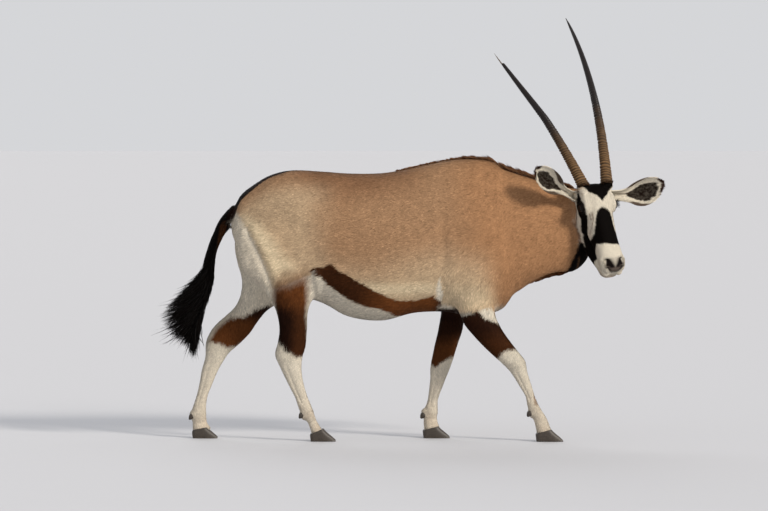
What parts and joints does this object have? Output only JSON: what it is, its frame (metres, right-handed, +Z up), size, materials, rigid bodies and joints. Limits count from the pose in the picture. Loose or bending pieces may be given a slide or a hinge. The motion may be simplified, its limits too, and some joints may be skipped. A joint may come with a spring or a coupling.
{
  "type": "gemsbok",
  "caption": "Life-size gemsbok antelope standing in a walking pose with its head turned aside, long ringed horns, cup ears, cloven hooves and a long brush tail",
  "frame": {"origin": "on the floor under the middle of the model's box", "axes": "+Z up, +X the way the body walks, +Y the animal's left; the head looks to -Y"},
  "size_m": [2.1478, 0.6946, 1.8128],
  "materials": {
    "tan_coat": "short flat hair, fawn brown, satin",
    "dark_coat": "black brown hair",
    "white_coat": "short cream white hair",
    "horn_sheath": "ringed horn, matt at the base and smooth at the tip",
    "hoof_horn": "worn dark horn",
    "eye": "wet dark brown"
  },
  "bodies": {
    "root": {"torso": "tan_coat", "neck": "tan_coat", "head": "tan_coat", "tail": "dark_coat", "leg_hind_right_upper": "dark_coat", "leg_hind_left_upper": "dark_coat", "leg_hind_right_cannon": "white_coat", "leg_hind_left_cannon": "white_coat", "leg_hind_right_pastern": "white_coat", "leg_hind_left_pastern": "white_coat", "leg_front_right_upper": "dark_coat", "leg_front_left_upper": "dark_coat", "leg_front_right_cannon": "white_coat", "leg_front_left_cannon": "white_coat", "leg_front_right_pastern": "white_coat", "leg_front_left_pastern": "white_coat", "horn_right": "horn_sheath", "horn_left": "horn_sheath", "ear_right": "white_coat", "ear_left": "white_coat", "hoof_front_right_outer": "hoof_horn", "dewclaw_front_right_outer": "hoof_horn", "hoof_front_right_inner": "hoof_horn", "dewclaw_front_right_inner": "hoof_horn", "hoof_front_left_outer": "hoof_horn", "dewclaw_front_left_outer": "hoof_horn", "hoof_front_left_inner": "hoof_horn", "dewclaw_front_left_inner": "hoof_horn", "hoof_hind_right_outer": "hoof_horn", "dewclaw_hind_right_outer": "hoof_horn", "hoof_hind_right_inner": "hoof_horn", "dewclaw_hind_right_inner": "hoof_horn", "hoof_hind_left_outer": "hoof_horn", "dewclaw_hind_left_outer": "hoof_horn", "hoof_hind_left_inner": "hoof_horn", "dewclaw_hind_left_inner": "hoof_horn", "eye_right": "eye", "eye_left": "eye"}
  },
  "joints": []
}
